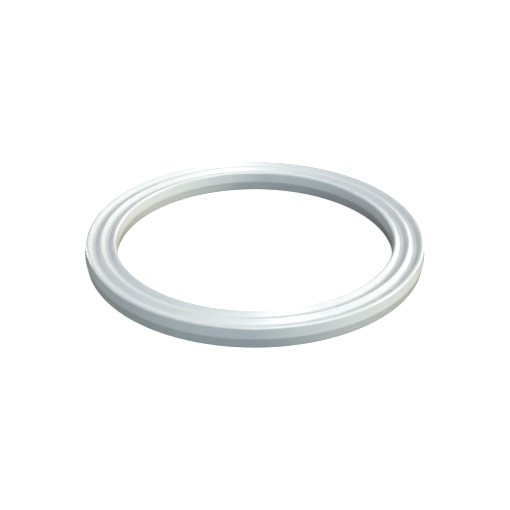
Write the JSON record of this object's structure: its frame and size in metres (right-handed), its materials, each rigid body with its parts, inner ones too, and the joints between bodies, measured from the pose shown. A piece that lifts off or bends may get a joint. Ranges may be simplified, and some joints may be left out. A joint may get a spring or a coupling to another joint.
{
  "type": "cable gland sealing ring",
  "caption": "Moulded polyethylene sealing ring with grooved faces, which slides over a cable gland's thread and seals its flange against a wall.",
  "frame": {"origin": "on the ring's axis, at the height of its bottom lips", "axes": "+Z along the ring's axis, out of its top face; X and Y lie in the ring's plane and are interchangeable"},
  "size_m": [0.0496, 0.0496, 0.0032],
  "materials": {
    "polyethylene": "satin"
  },
  "bodies": {
    "root": {"sealing_ring": "polyethylene"}
  },
  "joints": []
}
